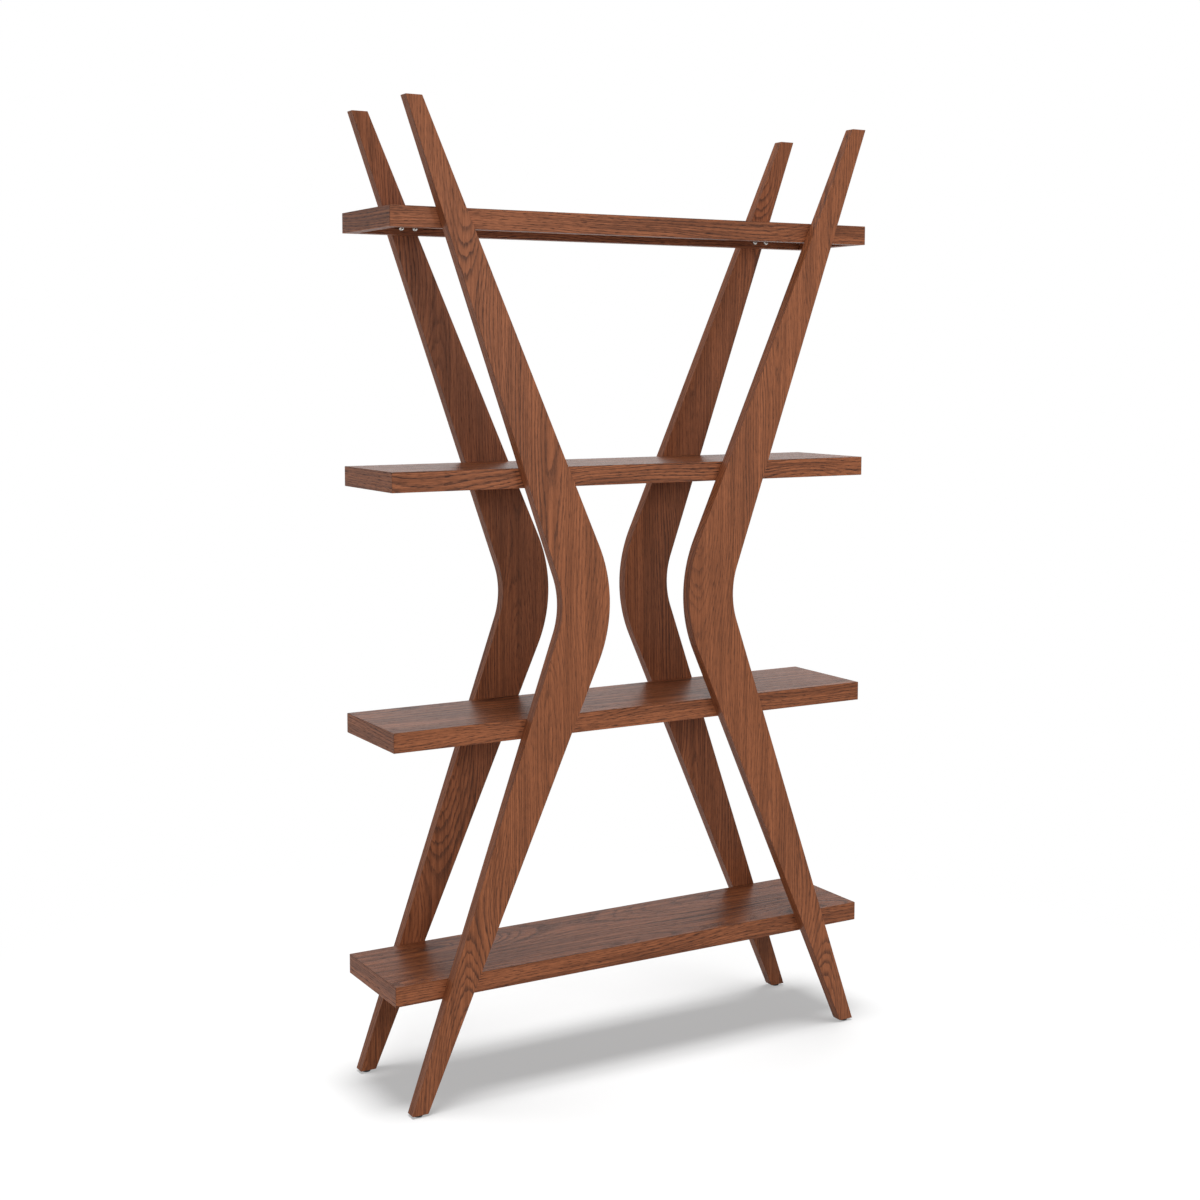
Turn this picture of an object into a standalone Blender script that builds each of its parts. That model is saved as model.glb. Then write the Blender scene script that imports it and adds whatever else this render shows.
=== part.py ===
"""Open etagere: four tray-built shelves bolted between two pairs of waisted board legs.

Metres, +Z up. The origin is on the floor under the middle of the object, X runs along the shelves
and the front faces -Y. Every shelf is a hollow tray: a thin top panel whose edges are mitred into
four edge rails. Two button-head bolts per leg go outwards from inside each tray, through the front
or back rail and into the leg.
"""
from math import atan, cos, pi, sin, sqrt

import bmesh
import bpy
from mathutils import Matrix, Vector

# Shelves
SHELF_NAMES = ("bottom_shelf", "lower_shelf", "upper_shelf", "top_shelf")
SHELF_LENGTH = 1.020
SHELF_DEPTH = 0.208
SHELF_THICKNESS = 0.036
PANEL_THICKNESS = 0.012
RAIL_WIDTH = 0.022
LOWEST_SHELF_TOP = 0.235
SHELF_PITCH = 0.453

# Legs: each edge is two straight runs that meet in a round at the waist
LEG_THICKNESS = 0.022
LEG_ABOVE_TOP_SHELF = 0.183
LEG_END_INSET = 0.0205
LEG_END_WIDTH = 0.0310
LEG_WAIST_WIDTH = 0.115
LEG_WAIST_GAP = 0.124
OUTER_WAIST_RADIUS = 0.155
INNER_WAIST_RADIUS = 0.260
OUTER_ROUND_STEPS = 12
INNER_ROUND_STEPS = 16

# Bolts
BOLT_SPACING = 0.027
BOLT_DIAMETER = 0.006
BOLT_GRIP_IN_LEG = 0.0125
BOLT_HOLE_SPARE_DEPTH = 0.0015
BOLT_TIP_CHAMFER = 0.0006
BOLT_HEAD_DIAMETER = 0.0105
BOLT_HEAD_HEIGHT = 0.0033
BOLT_HEAD_RIM = 0.0009
BOLT_KEY_ACROSS_FLATS = 0.004
BOLT_KEY_DEPTH = 0.0020
BOLT_KEY_LAND = 0.0006
BOLT_SIDES = 12
DOME_STEPS = 3
HEX_SIDES = 6

# Floor glides, nailed into the feet
GLIDE_DIAMETER = 0.017
GLIDE_THICKNESS = 0.004
GLIDE_EDGE_ROUND = 0.0015
NAIL_DIAMETER = 0.0026
NAIL_LENGTH = 0.014
NAIL_HOLE_SPARE_DEPTH = 0.001
GLIDE_SIDES = 24

# Fits and edges
JOINT_GAP = 0.0003
ARRIS = 0.0008
OVERRUN = 0.010
WELD = 0.00001

# Sharper than this and a shaded edge stays crisp
CREASE_ANGLE = pi / 6

# Finishes: linear base colour, roughness, metallic
LEG_FINISH = ((0.262, 0.100, 0.052), 0.45, 0.0)
PANEL_FINISH = ((0.225, 0.088, 0.048), 0.42, 0.0)
RAIL_FINISH = ((0.250, 0.095, 0.048), 0.45, 0.0)
BOLT_FINISH = ((0.62, 0.60, 0.57), 0.30, 1.0)
GLIDE_FINISH = ((0.012, 0.012, 0.012), 0.60, 0.0)

HALF_LENGTH = SHELF_LENGTH / 2
HALF_DEPTH = SHELF_DEPTH / 2
HALF_GAP = JOINT_GAP / 2
SHELF_TOPS = [LOWEST_SHELF_TOP + step * SHELF_PITCH for step in range(len(SHELF_NAMES))]
FOOT_HEIGHT = GLIDE_THICKNESS + JOINT_GAP
LEG_TOP_HEIGHT = SHELF_TOPS[-1] + LEG_ABOVE_TOP_SHELF
WAIST_HEIGHT = (FOOT_HEIGHT + LEG_TOP_HEIGHT) / 2
OUTER_END_REACH = HALF_LENGTH - LEG_END_INSET
INNER_END_REACH = OUTER_END_REACH - LEG_END_WIDTH
INNER_WAIST_REACH = LEG_WAIST_GAP / 2
OUTER_WAIST_REACH = INNER_WAIST_REACH + LEG_WAIST_WIDTH
LEG_INNER_FACE = HALF_DEPTH + JOINT_GAP
BOLT_BELOW_SHELF_TOP = (SHELF_THICKNESS + PANEL_THICKNESS) / 2
BOLT_SEAT = HALF_DEPTH - RAIL_WIDTH - JOINT_GAP
BOLT_LENGTH = LEG_INNER_FACE - BOLT_SEAT + BOLT_GRIP_IN_LEG
BOLT_HOLE_RADIUS = BOLT_DIAMETER / 2 + JOINT_GAP
NAIL_HOLE_RADIUS = NAIL_DIAMETER / 2 + JOINT_GAP
SIDES = {"left": -1, "right": 1}
FACES = {"front": -1, "back": 1}


def clear_scene():
    """Start from an empty file."""
    for item in list(bpy.data.objects):
        bpy.data.objects.remove(item, do_unlink=True)


def finish_object(item, finish):
    """Give one object a material of its own."""
    colour, roughness, metallic = finish
    material = bpy.data.materials.new(item.name + "_finish")
    material.use_nodes = True
    shader = material.node_tree.nodes["Principled BSDF"]
    shader.inputs["Base Color"].default_value = (*colour, 1.0)
    shader.inputs["Roughness"].default_value = roughness
    shader.inputs["Metallic"].default_value = metallic
    item.data.materials.clear()
    item.data.materials.append(material)


def add_object(name, mesh, parent=None):
    """Put a mesh into the scene as a named object."""
    item = bpy.data.objects.new(name, mesh)
    bpy.context.scene.collection.objects.link(item)
    item.parent = parent
    return item


def mesh_from(shape, name):
    """Turn a bmesh into a mesh with its faces pointing out, smooth but for its sharp edges."""
    bmesh.ops.recalc_face_normals(shape, faces=shape.faces)
    mesh = bpy.data.meshes.new(name)
    shape.to_mesh(mesh)
    shape.free()
    mesh.shade_smooth()
    mesh.set_sharp_from_angle(angle=CREASE_ANGLE)
    return mesh


def hide_cutter(item):
    """A cutter only shapes other pieces."""
    item.hide_render = True
    item.display_type = "WIRE"


def cut_away(item, cutter):
    """Subtract a cutter from an object."""
    modifier = item.modifiers.new(cutter.name, "BOOLEAN")
    modifier.operation = "DIFFERENCE"
    modifier.solver = "EXACT"
    modifier.object = cutter


def box(low, high):
    """A closed box between two corners."""
    shape = bmesh.new()
    bmesh.ops.create_cube(shape, size=1.0)
    low, high = Vector(low), Vector(high)
    bmesh.ops.scale(shape, vec=high - low, verts=shape.verts)
    bmesh.ops.translate(shape, vec=(low + high) / 2, verts=shape.verts)
    return shape


def keep_behind(shape, point, normal):
    """Saw a closed shape along a plane and keep the side that the normal points away from."""
    geometry = shape.verts[:] + shape.edges[:] + shape.faces[:]
    sawn = bmesh.ops.bisect_plane(shape, geom=geometry, plane_co=point, plane_no=normal, clear_outer=True)
    rim = [part for part in sawn["geom_cut"] if isinstance(part, bmesh.types.BMEdge)]
    bmesh.ops.edgeloop_fill(shape, edges=rim)


def turned(profile, sides):
    """Turn a profile of (radius, height) points round the Z axis."""
    shape = bmesh.new()
    points = [shape.verts.new((radius, 0, height)) for radius, height in profile]
    edges = [shape.edges.new(pair) for pair in zip(points, points[1:])]
    bmesh.ops.spin(shape, geom=points + edges, cent=(0, 0, 0), axis=(0, 0, 1), angle=2 * pi, steps=sides)
    bmesh.ops.remove_doubles(shape, verts=shape.verts, dist=WELD)
    return shape


def edge_reach(end_reach, waist_reach, height):
    """How far a leg's straight edge stands from the centre line at a height."""
    half_height = LEG_TOP_HEIGHT - WAIST_HEIGHT
    return waist_reach + (end_reach - waist_reach) * abs(height - WAIST_HEIGHT) / half_height


def leg_middle(height):
    """The middle of a leg's width at a height."""
    outer = edge_reach(OUTER_END_REACH, OUTER_WAIST_REACH, height)
    inner = edge_reach(INNER_END_REACH, INNER_WAIST_REACH, height)
    return (outer + inner) / 2


def leg_edge(end_reach, waist_reach, radius, steps):
    """One edge of a leg from foot to top: straight, round at the waist, straight."""
    lean = atan((end_reach - waist_reach) / (LEG_TOP_HEIGHT - WAIST_HEIGHT))
    centre = waist_reach + radius / cos(lean)
    turns = [lean * (2 * step / steps - 1) for step in range(steps + 1)]
    round_points = [(centre - radius * cos(turn), WAIST_HEIGHT + radius * sin(turn)) for turn in turns]
    return [(end_reach, FOOT_HEIGHT), *round_points, (end_reach, LEG_TOP_HEIGHT)]


def make_leg(face, side):
    """A board leg, sawn to its outline with lightly eased edges."""
    outer = leg_edge(OUTER_END_REACH, OUTER_WAIST_REACH, OUTER_WAIST_RADIUS, OUTER_ROUND_STEPS)
    inner = leg_edge(INNER_END_REACH, INNER_WAIST_REACH, INNER_WAIST_RADIUS, INNER_ROUND_STEPS)
    shape = bmesh.new()
    near, far = sorted((FACES[face] * LEG_INNER_FACE, FACES[face] * (LEG_INNER_FACE + LEG_THICKNESS)))
    outline = [shape.verts.new((SIDES[side] * reach, near, height)) for reach, height in outer + inner[::-1]]
    board = shape.faces.new(outline)
    raised = bmesh.ops.extrude_face_region(shape, geom=[board])["geom"]
    raised_points = [part for part in raised if isinstance(part, bmesh.types.BMVert)]
    bmesh.ops.translate(shape, vec=(0, far - near, 0), verts=raised_points)
    bmesh.ops.recalc_face_normals(shape, faces=shape.faces)
    crisp = [edge for edge in shape.edges if edge.calc_face_angle(0) > CREASE_ANGLE]
    bmesh.ops.bevel(shape, geom=crisp, offset=ARRIS, segments=1, affect="EDGES")
    leg = add_object(f"{face}_{side}_leg", mesh_from(shape, "leg"))
    finish_object(leg, LEG_FINISH)
    return leg


def bolt_turn(face):
    """The turn about X that points a bolt's -Z out through the front or the back."""
    return FACES[face] * pi / 2


def bolt_places(side, shelf_top):
    """The (x, z) of the two bolts that hold one shelf to one leg."""
    height = shelf_top - BOLT_BELOW_SHELF_TOP
    middle = leg_middle(height)
    spots = {"inner": middle - BOLT_SPACING / 2, "outer": middle + BOLT_SPACING / 2}
    return {name: (SIDES[side] * reach, height) for name, reach in spots.items()}


def make_leg_drill(face, side):
    """Cutter for a leg's bolt holes, which also pass through the rails of every shelf."""
    shape = bmesh.new()
    start = BOLT_SEAT - OVERRUN
    stop = BOLT_SEAT + BOLT_LENGTH + BOLT_HOLE_SPARE_DEPTH
    profile = [(0, -start), (BOLT_HOLE_RADIUS, -start), (BOLT_HOLE_RADIUS, -stop), (0, -stop)]
    outwards = Matrix.Rotation(bolt_turn(face), 3, "X")
    for shelf_top in SHELF_TOPS:
        for across, height in bolt_places(side, shelf_top).values():
            bore = turned(profile, BOLT_SIDES)
            bmesh.ops.rotate(bore, verts=bore.verts, cent=(0, 0, 0), matrix=outwards)
            bmesh.ops.translate(bore, verts=bore.verts, vec=(across, 0, height))
            bore_mesh = mesh_from(bore, "bore")
            shape.from_mesh(bore_mesh)
            bpy.data.meshes.remove(bore_mesh)
    drill = add_object(f"{face}_{side}_bolt_drill", mesh_from(shape, "bolt_drill"))
    hide_cutter(drill)
    return drill


def make_nail_drill(face, side, place):
    """Cutter for the hole that a glide's nail sits in."""
    stop = GLIDE_THICKNESS + NAIL_LENGTH + NAIL_HOLE_SPARE_DEPTH
    profile = [(0, 0), (NAIL_HOLE_RADIUS, 0), (NAIL_HOLE_RADIUS, stop), (0, stop)]
    drill = add_object(f"{face}_{side}_nail_drill", mesh_from(turned(profile, BOLT_SIDES), "nail_drill"))
    drill.location = place
    hide_cutter(drill)
    return drill


def make_glide(face, side, place):
    """A plastic floor glide with its nail, under the middle of a foot."""
    radius = GLIDE_DIAMETER / 2
    nail_top = GLIDE_THICKNESS + NAIL_LENGTH
    profile = [
        (0, 0),
        (radius - GLIDE_EDGE_ROUND, 0),
        (radius, GLIDE_EDGE_ROUND),
        (radius, GLIDE_THICKNESS),
        (NAIL_DIAMETER / 2, GLIDE_THICKNESS),
        (NAIL_DIAMETER / 2, nail_top - NAIL_DIAMETER),
        (0, nail_top),
    ]
    glide = add_object(f"{face}_{side}_glide", mesh_from(turned(profile, GLIDE_SIDES), "glide"))
    glide.location = place
    finish_object(glide, GLIDE_FINISH)


def mitre_planes(offset):
    """The four sloping planes between a panel and its rails, moved outwards by an offset."""
    planes = []
    for way_x, way_y in ((-1, 0), (1, 0), (0, -1), (0, 1)):
        normal = Vector((way_x, way_y, -1)).normalized()
        edge = Vector((way_x * HALF_LENGTH, way_y * HALF_DEPTH, 0))
        planes.append((edge + normal * offset, normal))
    return planes


def shelf_blank():
    """A whole shelf with eased edges, its top at the origin, from which each piece is sawn."""
    shape = box((-HALF_LENGTH, -HALF_DEPTH, -SHELF_THICKNESS), (HALF_LENGTH, HALF_DEPTH, 0))
    bmesh.ops.bevel(shape, geom=shape.edges[:], offset=ARRIS, segments=1, affect="EDGES")
    return shape


def make_panel(shelf, level):
    """The top panel, its edges mitred back under it."""
    shape = shelf_blank()
    for point, normal in mitre_planes(-HALF_GAP):
        keep_behind(shape, point, normal)
    keep_behind(shape, (0, 0, -PANEL_THICKNESS), (0, 0, -1))
    panel = add_object(f"{shelf}_panel", mesh_from(shape, "panel"), level)
    finish_object(panel, PANEL_FINISH)


def make_panel_seat(shelf, level):
    """Cutter that leaves each rail its mitre and the ledge under the panel."""
    reach_x = HALF_LENGTH + OVERRUN
    reach_y = HALF_DEPTH + OVERRUN
    shape = box((-reach_x, -reach_y, -PANEL_THICKNESS - JOINT_GAP), (reach_x, reach_y, OVERRUN))
    for point, normal in mitre_planes(HALF_GAP):
        keep_behind(shape, point, normal)
    seat = add_object(f"{shelf}_panel_seat", mesh_from(shape, "panel_seat"), level)
    hide_cutter(seat)
    return seat


def rail_saws(along):
    """Saw cuts that leave the rail at +along: its inner face and its two corner mitres."""
    across = Vector((-along.y, along.x, 0))
    extent = Vector((HALF_LENGTH, HALF_DEPTH, 0))
    corner_along = along * abs(extent.dot(along))
    corner_across = across * abs(extent.dot(across))
    saws = [(corner_along - along * RAIL_WIDTH, -along)]
    for way in (1, -1):
        normal = (way * across - along).normalized()
        saws.append((corner_along + way * corner_across - normal * HALF_GAP, normal))
    return saws


def make_rail(shelf, level, name, along, cutters):
    """An edge rail, mitred at its corners, with its cutters taken out."""
    shape = shelf_blank()
    for point, normal in rail_saws(Vector(along)):
        keep_behind(shape, point, normal)
    rail = add_object(f"{shelf}_{name}_rail", mesh_from(shape, "rail"), level)
    for cutter in cutters:
        cut_away(rail, cutter)
    finish_object(rail, RAIL_FINISH)


def bolt_mesh():
    """A button-head bolt with a hexagon socket, its head's seat at the origin and its shank along -Z."""
    head_radius = BOLT_HEAD_DIAMETER / 2
    shank_radius = BOLT_DIAMETER / 2
    key_corner = BOLT_KEY_ACROSS_FLATS / sqrt(3)
    flat_radius = key_corner + BOLT_KEY_LAND
    dome_rise = BOLT_HEAD_HEIGHT - BOLT_HEAD_RIM
    dome = []
    for step in range(DOME_STEPS + 1):
        turn = (pi / 2) * step / DOME_STEPS
        radius = flat_radius + (head_radius - flat_radius) * sin(turn)
        dome.append((radius, BOLT_HEAD_RIM + dome_rise * cos(turn)))
    profile = [
        (0, BOLT_HEAD_HEIGHT),
        *dome,
        (head_radius, 0),
        (shank_radius, 0),
        (shank_radius, BOLT_TIP_CHAMFER - BOLT_LENGTH),
        (shank_radius - BOLT_TIP_CHAMFER, -BOLT_LENGTH),
        (0, -BOLT_LENGTH),
    ]
    body = add_object("bolt_body", mesh_from(turned(profile, BOLT_SIDES), "bolt_body"))
    key_floor = BOLT_HEAD_HEIGHT - BOLT_KEY_DEPTH
    key_top = BOLT_HEAD_HEIGHT + OVERRUN
    key_profile = [(0, key_floor), (key_corner, key_floor), (key_corner, key_top), (0, key_top)]
    key = add_object("bolt_key", mesh_from(turned(key_profile, HEX_SIDES), "bolt_key"))
    cut_away(body, key)
    graph = bpy.context.evaluated_depsgraph_get()
    mesh = bpy.data.meshes.new_from_object(body.evaluated_get(graph))
    for helper in (body, key):
        bpy.data.objects.remove(helper, do_unlink=True)
    return mesh


def make_bolts(shelf, shelf_top, mesh):
    """The eight bolts of one shelf, two to each leg."""
    for face, way in FACES.items():
        for side in SIDES:
            for spot, (across, height) in bolt_places(side, shelf_top).items():
                bolt = add_object(f"{shelf}_{face}_{side}_{spot}_bolt", mesh.copy())
                bolt.location = (across, way * BOLT_SEAT, height)
                bolt.rotation_euler = (bolt_turn(face), 0, 0)
                finish_object(bolt, BOLT_FINISH)


def make_legs():
    """All four legs with their glides; gives back the bolt drill of each."""
    drills = {}
    for face in FACES:
        for side, way in SIDES.items():
            leg = make_leg(face, side)
            foot_middle = leg_middle(FOOT_HEIGHT)
            foot = (way * foot_middle, FACES[face] * (LEG_INNER_FACE + LEG_THICKNESS / 2), 0)
            drills[face, side] = make_leg_drill(face, side)
            cut_away(leg, drills[face, side])
            cut_away(leg, make_nail_drill(face, side, foot))
            make_glide(face, side, foot)
    return drills


def make_shelf(shelf, shelf_top, drills):
    """One tray shelf: a panel and four rails, hung on an empty at its top face."""
    level = bpy.data.objects.new(f"{shelf}_level", None)
    bpy.context.scene.collection.objects.link(level)
    level.location = (0, 0, shelf_top)
    make_panel(shelf, level)
    seat = make_panel_seat(shelf, level)
    for face, way in FACES.items():
        make_rail(shelf, level, face, (0, way, 0), [seat, drills[face, "left"], drills[face, "right"]])
    for side, way in SIDES.items():
        make_rail(shelf, level, side, (way, 0, 0), [seat])


def main():
    clear_scene()
    drills = make_legs()
    bolt = bolt_mesh()
    for shelf, shelf_top in zip(SHELF_NAMES, SHELF_TOPS):
        make_shelf(shelf, shelf_top, drills)
        make_bolts(shelf, shelf_top, bolt)
    bpy.data.meshes.remove(bolt)
    bpy.context.view_layer.update()


main()
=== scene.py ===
from math import atan, cos, pi, radians, sin, sqrt

import bmesh
import bpy
from bpy.props import FloatProperty, FloatVectorProperty, IntProperty, PointerProperty
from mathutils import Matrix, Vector


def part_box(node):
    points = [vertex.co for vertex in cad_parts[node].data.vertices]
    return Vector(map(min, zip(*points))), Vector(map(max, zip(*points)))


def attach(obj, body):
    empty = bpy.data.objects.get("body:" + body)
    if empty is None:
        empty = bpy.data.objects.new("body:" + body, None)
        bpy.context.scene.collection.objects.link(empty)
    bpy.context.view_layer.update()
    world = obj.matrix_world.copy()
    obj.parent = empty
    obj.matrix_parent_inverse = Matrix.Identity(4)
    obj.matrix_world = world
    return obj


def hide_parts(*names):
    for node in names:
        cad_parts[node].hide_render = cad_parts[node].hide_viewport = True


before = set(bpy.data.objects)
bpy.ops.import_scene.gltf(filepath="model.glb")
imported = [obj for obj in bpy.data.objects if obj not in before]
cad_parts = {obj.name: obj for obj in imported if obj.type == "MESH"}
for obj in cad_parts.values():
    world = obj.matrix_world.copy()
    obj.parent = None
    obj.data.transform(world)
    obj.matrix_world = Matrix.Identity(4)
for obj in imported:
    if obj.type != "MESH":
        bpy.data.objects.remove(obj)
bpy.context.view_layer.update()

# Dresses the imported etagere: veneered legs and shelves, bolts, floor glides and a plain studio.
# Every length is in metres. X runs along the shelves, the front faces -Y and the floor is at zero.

bl_info = {
    "name": "Etagere with waisted legs",
    "version": (1, 0, 0),
    "blender": (4, 5, 0),
    "location": "View3D > Sidebar > Etagere",
    "description": "Builds the veneered boards, bolts and glides of an open etagere, and a studio",
    "category": "Add Mesh",
}

SHELVES = ("bottom_shelf", "lower_shelf", "upper_shelf", "top_shelf")
FACES = {"front": -1, "back": 1}
SIDES = {"left": -1, "right": 1}
SPOTS = ("inner", "outer")

# What the frame says
LEG_LOW, LEG_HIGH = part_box("front_right_leg")
SHELF_REACH_X = -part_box("bottom_shelf_left_rail")[0].x
SHELF_REACH_Y = -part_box("bottom_shelf_front_rail")[0].y
SHELF_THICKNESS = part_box("bottom_shelf_panel")[1].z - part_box("bottom_shelf_front_rail")[0].z
SHELF_TOPS = {shelf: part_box(f"{shelf}_panel")[1].z for shelf in SHELVES}
WAIST_HEIGHT = (LEG_LOW.z + LEG_HIGH.z) / 2
LEG_HALF_HEIGHT = LEG_HIGH.z - WAIST_HEIGHT

# Cutters run past what they cut by this much, and welds join points closer than this
OVERRUN = 0.010
WELD = 0.00001
# An edge sharper than this counts as a corner of the board
CORNER_ANGLE = radians(40)

# Faces round the holes, bolts and glides, and steps in their rounds
HOLE_SIDES = 20
BOLT_SIDES = 28
DOME_STEPS = 6
KEY_SIDES = 6
GLIDE_SIDES = 40
GLIDE_ROUND_STEPS = 4

# Name of the UV map that holds each point's place on the veneer, in metres
GRAIN = "grain"
# Where on the veneer each piece is cut: across the grain, then along it
LEG_LEAVES = {
    ("front", "left"): (3.086, 2.888),
    ("front", "right"): (2.600, 4.144),
    ("back", "left"): (2.110, 3.904),
    ("back", "right"): (1.376, 0.136),
}
LEG_EDGE_LEAVES = {
    ("front", "left"): (5.270, 0.0),
    ("front", "right"): (5.580, 3.0),
    ("back", "left"): (5.890, 6.0),
    ("back", "right"): (6.200, 9.0),
}
PANEL_LEAVES = {
    "bottom_shelf": (8.997, 1.968),
    "lower_shelf": (9.3, 2.0),
    "upper_shelf": (10.5, 4.0),
    "top_shelf": (11.7, 6.0),
}
RAIL_LEAVES = {
    "bottom_shelf": (14.988, 0.515),
    "lower_shelf": (14.211, 1.315),
    "upper_shelf": (14.966, 4.509),
    "top_shelf": (17.777, 6.0),
}
# How far from its shelf's place each rail is cut
RAIL_STEPS = {"front": (0.0, 0.0), "back": (0.31, 9.0), "left": (0.62, 13.0), "right": (0.93, 17.0)}

# The three veneers: how bold their rings are, how uneven their stain and how deep their pores in metres
LEG_VENEER = {"figure_strength": 0.9, "contrast": 1.0, "pore_depth": 0.00012}
TOP_VENEER = {
    "figure_strength": 1.0,
    "contrast": 2.4,
    "pore_depth": 0.0004,
    "ring_scale": 1.7,
    # The tops' stain is set deeper than the legs': partly the veneer's own stain, partly painted shade that
    # darkens the shelf tops
    "soak_and_painted_shade": 0.68,
}
RAIL_VENEER = {"figure_strength": 0.95, "contrast": 1.6, "pore_depth": 0.0002}
# Noise in the veneer: cells per metre across the grain and along it, seed, detail and roughness
NOISES = {
    "crown_wander": (5.0, 1.6, 3.1, 1.0, 0.5),
    "ring_waves": (38.0, 4.0, 7.7, 3.0, 0.6),
    "ring_ripples": (420.0, 60.0, 1.3, 2.0, 0.5),
    "boldness": (9.0, 1.9, 9.4, 2.0, 0.5),
    "breaks": (500.0, 30.0, 4.4, 3.0, 0.65),
    "pores": (900.0, 60.0, 5.2, 2.0, 0.65),
    "fibre": (460.0, 4.0, 2.6, 4.0, 0.7),
    "streaks": (90.0, 1.6, 8.3, 2.0, 0.5),
    "mottle": (34.0, 9.0, 6.5, 4.0, 0.6),
}
# Grey ramps in the veneer, each a list of (position, value) stops
RING_STOPS = [(0.0, 1.0), (0.14, 0.85), (0.34, 0.2), (0.5, 0.0), (0.92, 0.0), (1.0, 1.0)]
BOLD_STOPS = [(0.34, 0.36), (0.50, 0.56), (0.62, 1.0)]
BREAK_STOPS = [(0.36, 0.4), (0.56, 1.0)]
PORE_STOPS = [(0.50, 0.0), (0.60, 1.0)]

# The studio: its floor, the share of the floor's reach that isn't faded, and where each lamp stands,
# what it points at and how wide it is
WHITE = (1.0, 1.0, 1.0, 1.0)
FLOOR_SIZE = 16
UNFADED_SHARE = 0.7
LAMPS = {
    "ceiling_lamp": ((0, 0, 6), (0, 0, 0), 4.2),
    "key_lamp": ((-0.4, -2.4, 1.6), (-0.1, 0, 1.0), 0.5),
    "fill_lamp": ((0.9, -2.4, 1.55), (-0.1, 0, 1.0), 0.6),
    "floor_lamp": ((-0.3, -0.3, 6), (-0.3, -0.3, 0), 3.2),
}


class EtagereSizes(bpy.types.PropertyGroup):
    """Sizes that the frame doesn't give."""

    leg_end_width: FloatProperty(
        name="Leg end width", description="Width of a leg at its foot and top", default=0.031, unit="LENGTH"
    )
    leg_waist_width: FloatProperty(
        name="Waist width",
        description="Width of a leg at its waist, between its straight edges drawn out to meet",
        default=0.115,
        unit="LENGTH",
    )
    leg_waist_gap: FloatProperty(
        name="Waist gap",
        description="Gap between a left and a right leg, between their straight edges drawn out to meet",
        default=0.124,
        unit="LENGTH",
    )
    outer_waist_radius: FloatProperty(
        name="Outer waist radius", description="Round of a leg's outer edge", default=0.155, unit="LENGTH"
    )
    inner_waist_radius: FloatProperty(
        name="Inner waist radius", description="Round of a leg's inner edge", default=0.260, unit="LENGTH"
    )
    round_steps: IntProperty(
        name="Round steps", description="Edges in each round of a leg's outline", default=28, min=4
    )
    panel_thickness: FloatProperty(
        name="Panel thickness", description="Thickness of a shelf's top panel", default=0.012, unit="LENGTH"
    )
    rail_width: FloatProperty(
        name="Rail width", description="Thickness of the rails round a shelf", default=0.022, unit="LENGTH"
    )
    joint_gap: FloatProperty(
        name="Joint gap", description="Gap at a glued or bolted joint", default=0.0003, unit="LENGTH"
    )
    edge_radius: FloatProperty(
        name="Edge radius", description="Sanded round on a board's edges", default=0.0008, unit="LENGTH"
    )
    edge_steps: IntProperty(name="Edge steps", description="Faces across a sanded edge", default=3, min=1)
    bolt_diameter: FloatProperty(
        name="Bolt diameter", description="Thread diameter of the bolts", default=0.006, unit="LENGTH"
    )
    bolt_head_diameter: FloatProperty(
        name="Head diameter", description="Diameter of a bolt's button head", default=0.0105, unit="LENGTH"
    )
    bolt_head_height: FloatProperty(
        name="Head height", description="Height of a bolt's button head", default=0.0033, unit="LENGTH"
    )
    bolt_head_rim: FloatProperty(
        name="Head rim", description="Upright rim under the dome of a head", default=0.0009, unit="LENGTH"
    )
    bolt_key: FloatProperty(
        name="Key size", description="Hexagon key across its flats", default=0.004, unit="LENGTH"
    )
    bolt_key_depth: FloatProperty(
        name="Key depth", description="Depth of the hexagon socket", default=0.002, unit="LENGTH"
    )
    bolt_key_land: FloatProperty(
        name="Key land", description="Flat ring between socket and dome", default=0.0006, unit="LENGTH"
    )
    thread_pitch: FloatProperty(
        name="Thread pitch", description="Distance between turns of thread", default=0.001, unit="LENGTH"
    )
    glide_thickness: FloatProperty(
        name="Glide thickness", description="Height of a foot above the floor", default=0.004, unit="LENGTH"
    )
    glide_edge_round: FloatProperty(
        name="Glide round", description="Round of a glide's lower edge", default=0.0015, unit="LENGTH"
    )
    nail_diameter: FloatProperty(
        name="Nail diameter", description="Diameter of a glide's nail", default=0.0026, unit="LENGTH"
    )


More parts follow.
